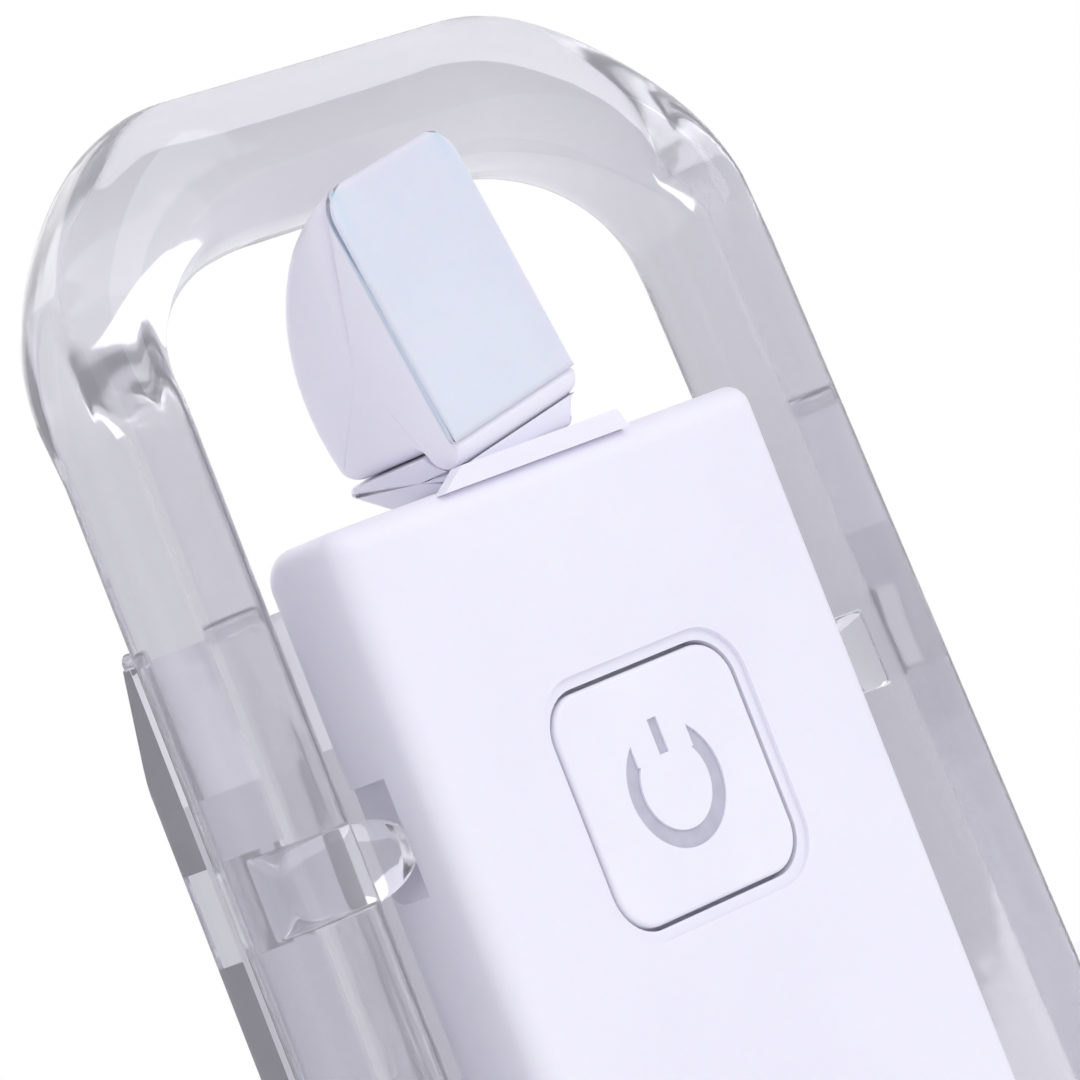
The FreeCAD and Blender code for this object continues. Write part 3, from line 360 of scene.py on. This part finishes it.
# %% Neck
NECK_LOW, NECK_LOW_HALF, NECK_HIGH = 0.3, 3.45, CREASE - 0.08
NECK_FRONT, NECK_BACK = 0.52, 8.1
FOOT_FRONT, FOOT_BACK = 1.0, 6.7
NECK_ROUND, NECK_CORNER = 0.4, (8.4, NECK_HIGH - 0.6)
TROUGH_R = BARREL_R + 0.16    # the trough leaves the barrel a little room to turn
drop = math.sqrt(TROUGH_R ** 2 - (PIN_F - NECK_FRONT) ** 2)
trough_start = -180 + math.degrees(math.atan2(drop, PIN_F - NECK_FRONT))
parts = [line((FOOT_FRONT, NECK_LOW), (NECK_FRONT, CREASE - drop), 12),
         arc((PIN_F, CREASE), TROUGH_R, trough_start, -5, 20),
         line((PIN_F + TROUGH_R, NECK_HIGH), (NECK_BACK, NECK_HIGH), 14),
         arc((NECK_BACK, NECK_HIGH - NECK_ROUND), NECK_ROUND, 90, -20, 8),
         line(NECK_CORNER, (FOOT_BACK, NECK_LOW), 12),
         line((FOOT_BACK, NECK_LOW), (FOOT_FRONT, NECK_LOW), 14)]
softness = [np.full(12, 0.7), np.zeros(20), np.zeros(14), np.ones(8), np.ones(12), np.zeros(14)]


def neck_narrow(h):
    """The width follows the height, from the narrow foot to the head's full width at the crease."""
    share = np.clip((h - NECK_LOW) / (NECK_HIGH - NECK_LOW), 0, 1)
    return (NECK_LOW_HALF + (HEAD_HALF - NECK_LOW_HALF) * share) / HEAD_HALF


neck_rings = across_rings(np.vstack(parts), np.concatenate(softness), HEAD_HALF, 0.5, neck_narrow)
neck = tube_from_rings("neck_moulding", neck_rings)
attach(neck, "neck")
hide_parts("neck_block")

# %% The round tongue that sits in the housing's pocket
TONGUE_R = 3.2
turn = np.linspace(0, 2 * np.pi, 65)[:-1]
depth = np.array([1.9, 1.95, 2.1, 3.6, 5.1, 5.25, 5.3])    # behind the housing's front, in mm
radius = TONGUE_R - np.array([0.15, 0.05, 0, 0, 0, 0.05, 0.15])    # both rims are rounded off
ring = np.stack([np.cos(turn), np.zeros_like(turn), np.sin(turn)], -1)
tongue_rings = ring[None] * radius[:, None, None]
pin_height = np.full_like(depth, HOUSING_TOP - SWING_DROP)
pin_line = np.stack([0 * depth, HOUSING_FRONT + depth, pin_height], -1)
tongue_rings = tongue_rings + pin_line[:, None]
tongue = tube_from_rings("neck_tongue", roll_left(tongue_rings))
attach(tongue, "neck")

# %% [markdown]
# ## Finishes
# Each finish is a Principled shader with a small network for its texture. One function turns a
# hex colour into linear light, and one adds a node with its settings and links, so each recipe
# reads as a short list.

# %% Two small helpers
def linear(hex_colour):
    """sRGB hex to linear RGBA: v / 12.92 below 0.04045, else ((v + 0.055) / 1.055) ^ 2.4."""
    v = np.array([int(hex_colour[k:k + 2], 16) for k in (0, 2, 4)]) / 255
    return (*np.where(v <= 0.04045, v / 12.92, ((v + 0.055) / 1.055) ** 2.4).tolist(), 1.0)


def add_node(material, kind, settings=None, links=None):
    """Adds a node. settings: attributes or input values by name; links: input name to output."""
    node = material.node_tree.nodes.new(kind)
    for name, value in (settings or {}).items():
        if name in node.inputs:
            node.inputs[name].default_value = value
        else:
            setattr(node, name, value)
    for name, source in (links or {}).items():
        material.node_tree.links.new(source, node.inputs[name])
    return node


def new_finish(name, **settings):
    """A material with a Principled shader on its output. Returns (material, shader)."""
    material = bpy.data.materials.new(name)
    material.use_nodes = True
    material.node_tree.nodes.clear()
    shader = add_node(material, "ShaderNodeBsdfPrincipled", settings)
    add_node(material, "ShaderNodeOutputMaterial", links={"Surface": shader.outputs["BSDF"]})
    print("finish:", name)
    return material, shader


def per_metre(size_mm):
    """Noise scale for features of about this size, on Object coordinates in metres."""
    return 1 / (size_mm * MM)


def mottle(material, shader, dark, light, size_mm, low=0.35, high=0.65):
    """Drives the base colour between two hex colours with soft noise of one feature size."""
    place = add_node(material, "ShaderNodeTexCoord")
    noise = add_node(material, "ShaderNodeTexNoise", {"Scale": per_metre(size_mm), "Detail": 4.0},
                     {"Vector": place.outputs["Object"]})
    ramp = add_node(material, "ShaderNodeValToRGB", links={"Fac": noise.outputs["Fac"]})
    ramp.color_ramp.elements[0].position, ramp.color_ramp.elements[1].position = low, high
    ramp.color_ramp.elements[0].color, ramp.color_ramp.elements[1].color = linear(dark), linear(light)
    material.node_tree.links.new(ramp.outputs["Color"], shader.inputs["Base Color"])
    return noise


def grain(material, shader, size_mm, height_mm, strength=1.0):
    """Fine relief: noise of one feature size drives a bump of one height."""
    place = add_node(material, "ShaderNodeTexCoord")
    noise = add_node(material, "ShaderNodeTexNoise", {"Scale": per_metre(size_mm), "Detail": 3.0},
                     {"Vector": place.outputs["Object"]})
    bump = add_node(material, "ShaderNodeBump", {"Distance": height_mm * MM, "Strength": strength},
                    {"Height": noise.outputs["Fac"]})
    material.node_tree.links.new(bump.outputs["Normal"], shader.inputs["Normal"])
    return noise


def gloss_range(material, shader, noise, low, high):
    """Roughness runs between two values with a noise that is already there."""
    span = add_node(material, "ShaderNodeMapRange",
                    {"From Min": 0.3, "From Max": 0.7, "To Min": low, "To Max": high},
                    {"Value": noise.outputs["Fac"]})
    material.node_tree.links.new(span.outputs["Result"], shader.inputs["Roughness"])


# %% [markdown]
# Clear styrene is polished in the mould but never quite flat: it flows round the loop as it
# fills, which leaves long soft waves about 8 mm apart. It could be a Glass shader, but a
# Principled shader that transmits 86 % and scatters the rest has the slight milkiness that keeps
# a thick moulding from vanishing against a pale ground.

# %% Clear moulded plastic
clear, shader = new_finish("clear moulded styrene",
                           **{"Base Color": linear("EDECF2"), "Roughness": 0.07, "IOR": 1.5,
                              "Transmission Weight": 0.86})
grain(clear, shader, size_mm=8.0, height_mm=0.06)

# %% [markdown]
# ## White mouldings
# The shells are ABS from a finely eroded mould: the eye sees an even satin with soft edges to the
# highlights. A little subsurface light softens the shadows, as in real white plastic. The mould's
# grain is near 0.1 mm, which only just shows, and the tint drifts by about one step over a
# centimetre.

# %% Satin white ABS of the housing and head
white, shader = new_finish("satin white ABS", **{"IOR": 1.54, "Subsurface Weight": 0.12,
                                                 "Subsurface Scale": 0.0008})
cloud = mottle(white, shader, "EDEBF8", "F1EFFB", size_mm=14.0)
gloss_range(white, shader, cloud, 0.40, 0.48)
grain(white, shader, size_mm=0.12, height_mm=0.004)

button_white, shader = new_finish("satin white ABS button", **{"IOR": 1.54, "Subsurface Weight": 0.12,
                                                               "Subsurface Scale": 0.0008})
cloud = mottle(button_white, shader, "EFEDFA", "F3F1FC", size_mm=9.0)
gloss_range(button_white, shader, cloud, 0.38, 0.46)
grain(button_white, shader, size_mm=0.10, height_mm=0.003)

# %% [markdown]
# ## The front plate
# The plate over the light is polycarbonate with a frosted face: light enters it, spreads and
# comes back, so it looks a little bluer and duller than the shell beside it. Subsurface light
# gives that without a noisy clear layer.

# %% Frosted lens
lens, shader = new_finish("frosted polycarbonate", **{"IOR": 1.58, "Subsurface Weight": 0.35,
                                                      "Subsurface Scale": 0.0015})
cloud = mottle(lens, shader, "DDDEEC", "E2E3F0", size_mm=7.0)
gloss_range(lens, shader, cloud, 0.48, 0.60)
grain(lens, shader, size_mm=0.07, height_mm=0.006)

# %% [markdown]
# ## The sign and the pieces inside
# The power sign is engraved, and its grey is painted shade on the floor of its recess: flat, with
# slightly uneven cover. The pieces inside are each made as the real ones are, from rolled or plated
# steel, laminate, nylon, soft sleeve, acrylic and phosphor, with mottling at their own scale.

# %% Painted shade in the power sign's recess
# The grey is painted shade: it stands for the shade on the floor of the engraved sign.
icon_grey, shader = new_finish("grey painted as shade in the sign's recess", **{"IOR": 1.5})
cloud = mottle(icon_grey, shader, "B9B8C8", "C4C3D3", size_mm=1.2)
gloss_range(icon_grey, shader, cloud, 0.5, 0.62)
grain(icon_grey, shader, size_mm=0.08, height_mm=0.004)

# %% The pieces inside
steel, shader = new_finish("rolled spring steel", **{"Metallic": 1.0})
cloud = mottle(steel, shader, "B4B4B8", "D0D0D2", size_mm=1.5)
gloss_range(steel, shader, cloud, 0.22, 0.36)
grain(steel, shader, size_mm=0.2, height_mm=0.003)

cell_steel, shader = new_finish("nickel plated steel", **{"Metallic": 1.0})
cloud = mottle(cell_steel, shader, "C2C1BF", "D8D7D4", size_mm=4.0)
gloss_range(cell_steel, shader, cloud, 0.16, 0.28)
grain(cell_steel, shader, size_mm=0.3, height_mm=0.002)

laminate, shader = new_finish("solder masked glass laminate",
                              **{"IOR": 1.5, "Coat Weight": 0.4, "Coat Roughness": 0.15})
cloud = mottle(laminate, shader, "0E4A2A", "16633A", size_mm=1.0)
gloss_range(laminate, shader, cloud, 0.3, 0.45)
grain(laminate, shader, size_mm=0.25, height_mm=0.006)

black, shader = new_finish("moulded black nylon", **{"IOR": 1.53})
cloud = mottle(black, shader, "17171A", "222226", size_mm=0.8)
gloss_range(black, shader, cloud, 0.4, 0.6)
grain(black, shader, size_mm=0.1, height_mm=0.006)

sleeve, shader = new_finish("soft PVC sleeve", **{"IOR": 1.53})
cloud = mottle(sleeve, shader, "8E1712", "A8221B", size_mm=0.6)
gloss_range(sleeve, shader, cloud, 0.35, 0.5)
grain(sleeve, shader, size_mm=0.1, height_mm=0.004)

reflector_white, shader = new_finish("gloss white acrylic reflector", **{"IOR": 1.49})
cloud = mottle(reflector_white, shader, "F0F0EE", "F8F8F6", size_mm=2.0)
gloss_range(reflector_white, shader, cloud, 0.12, 0.2)
grain(reflector_white, shader, size_mm=0.4, height_mm=0.004)

phosphor, shader = new_finish("yellow phosphor in silicone", **{"IOR": 1.41, "Subsurface Weight": 0.3,
                                                                "Subsurface Scale": 0.0004})
cloud = mottle(phosphor, shader, "E2B93A", "F0CF5E", size_mm=0.5)
gloss_range(phosphor, shader, cloud, 0.25, 0.4)
grain(phosphor, shader, size_mm=0.08, height_mm=0.004)

# %% Which piece has which finish
FINISH_OF_SLOT = {"clear_plastic": clear, "white_plastic": white, "button_plastic": button_white,
                  "frosted_lens": lens, "icon_grey": icon_grey, "steel": steel,
                  "cell_steel": cell_steel, "board_laminate": laminate, "black_plastic": black,
                  "wire_insulation": sleeve, "reflector_white": reflector_white,
                  "led_phosphor": phosphor}
for entry in frame["record"]["subparts"]:
    mesh = frame["nodes"][entry["node"]].data
    mesh.materials.clear()
    mesh.materials.append(FINISH_OF_SLOT[entry["material_slot"]])
NEW_PIECES = ((clear_hoop, clear), (head_shell, white), (front_plate, lens), (neck, white),
              (tongue, white))
for piece, finish in NEW_PIECES:
    piece.data.materials.append(finish)

# %% [markdown]
# ## The studio
# A pale floor, and a surround that is white where it is seen directly. Reflections and the clear
# plastic see a grey gradient in its place, so that the clip's edges stay readable against the
# white.

# %% Floor
FLOOR_RADIUS, FLOOR_DROP = 0.45, 0.0004    # metres; the drop keeps the floor clear of the lamp
floor_mesh = bpy.data.meshes.new("floor")
angle = np.linspace(0, 2 * np.pi, 97)[:-1]
rim = np.stack([FLOOR_RADIUS * np.cos(angle), FLOOR_RADIUS * np.sin(angle),
                np.full_like(angle, -FLOOR_DROP)], -1)
floor_mesh.from_pydata(rim.tolist(), [], [list(range(len(angle)))])
floor = bpy.data.objects.new("floor", floor_mesh)
bpy.context.scene.collection.objects.link(floor)
floor_paint, shader = new_finish("matt white paper sweep", **{"IOR": 1.45})
cloud = mottle(floor_paint, shader, "F2F2F3", "F6F6F7", size_mm=60.0)
gloss_range(floor_paint, shader, cloud, 0.75, 0.85)
floor_mesh.materials.append(floor_paint)
print("floor radius %.2f m" % FLOOR_RADIUS)

# %% Surround
world = bpy.data.worlds.new("studio")
world.use_nodes = True
bpy.context.scene.world = world
world.node_tree.nodes.clear()
place = add_node(world, "ShaderNodeTexCoord")
axes = add_node(world, "ShaderNodeSeparateXYZ", links={"Vector": place.outputs["Generated"]})
height = add_node(world, "ShaderNodeMapRange", {"From Min": -0.9, "From Max": 0.9},
                  {"Value": axes.outputs["Z"]})
sky = add_node(world, "ShaderNodeValToRGB", links={"Fac": height.outputs["Result"]})
sky.color_ramp.elements[0].color = (0.42, 0.42, 0.46, 1)
sky.color_ramp.elements[1].color = (0.95, 0.95, 0.97, 1)
seen = add_node(world, "ShaderNodeLightPath")
mix = add_node(world, "ShaderNodeMix", {"data_type": "RGBA"})
world.node_tree.links.new(seen.outputs["Is Camera Ray"], mix.inputs["Factor"])
world.node_tree.links.new(sky.outputs["Color"], mix.inputs[6])
mix.inputs[7].default_value = (1.0, 1.0, 1.0, 1.0)
background = add_node(world, "ShaderNodeBackground", {"Strength": 1.0},
                      {"Color": mix.outputs[2]})
add_node(world, "ShaderNodeOutputWorld", links={"Surface": background.outputs["Background"]})
print("surround set: white where seen, a grey gradient for light and reflections")


# %% [markdown]
# ## Lights
# Three large square lamps give the broad, soft highlights of a light tent: one high on the button
# side, one on the left and one behind. Their power is low, because they stand close and the
# surround already gives most of the light.

# %% Soft lights
def soft_light(name, spot, aim, size_m, watts):
    """A square area light at spot, aimed at a point; both in metres."""
    light = bpy.data.lights.new(name, "AREA")
    light.size, light.energy = size_m, watts
    lamp = bpy.data.objects.new(name, light)
    bpy.context.scene.collection.objects.link(lamp)
    towards = Vector(aim) - Vector(spot)
    turned = towards.to_track_quat("-Z", "Y").to_matrix().to_4x4()
    lamp.matrix_world = Matrix.Translation(spot) @ turned
    print("light %s: %.1f W" % (name, watts))


AIM = (0, 0, 0.06)
soft_light("key", (0.22, -0.50, 0.42), AIM, size_m=0.45, watts=0.9)
soft_light("left fill", (-0.55, -0.05, 0.20), AIM, size_m=0.40, watts=0.3)
soft_light("back", (0.10, 0.55, 0.30), AIM, size_m=0.40, watts=0.5)

# %% [markdown]
# ## The camera
# A long lens looks at the lamp's front left edge from 276 mm, level with the upper part of the
# housing, and is rolled so that the lamp leans across the frame.

# %% Camera
AZIMUTH = math.radians(43.5)
AHEAD = Vector((math.sin(AZIMUTH), math.cos(AZIMUTH), 0))
RIGHT = Vector((math.cos(AZIMUTH), -math.sin(AZIMUTH), 0))
UP = Vector((0, 0, 1))
DISTANCE, BELOW_TOP = 276.0, 5.9    # millimetres from the housing's front edge and below its top
FOCAL, AIM_RIGHT, AIM_UP = 6073.0, -40.5, 50.0    # in units of which the frame is FRAME_WIDE across
FRAME_WIDE, SENSOR = 1080, 36.0
ROLL = math.radians(21.43)

camera_data = bpy.data.cameras.new("camera")
camera_data.sensor_width = SENSOR
camera_data.lens = SENSOR * FOCAL / FRAME_WIDE
camera_data.clip_start = 0.01
camera = bpy.data.objects.new("camera", camera_data)
bpy.context.scene.collection.objects.link(camera)
spot = (Vector((0, HOUSING_FRONT, HOUSING_TOP - BELOW_TOP)) - DISTANCE * AHEAD) * MM
look = (FOCAL * AHEAD + AIM_RIGHT * RIGHT + AIM_UP * UP).normalized()
level_right = look.cross(UP).normalized()
level_up = level_right.cross(look)
cam_up = math.cos(ROLL) * level_up + math.sin(ROLL) * level_right
cam_right = look.cross(cam_up)
turned = Matrix((cam_right, cam_up, -look)).transposed().to_4x4()
camera.matrix_world = Matrix.Translation(spot) @ turned
bpy.context.scene.camera = camera
bpy.context.scene.view_settings.view_transform = "Standard"
print("lens %.1f mm" % camera_data.lens)
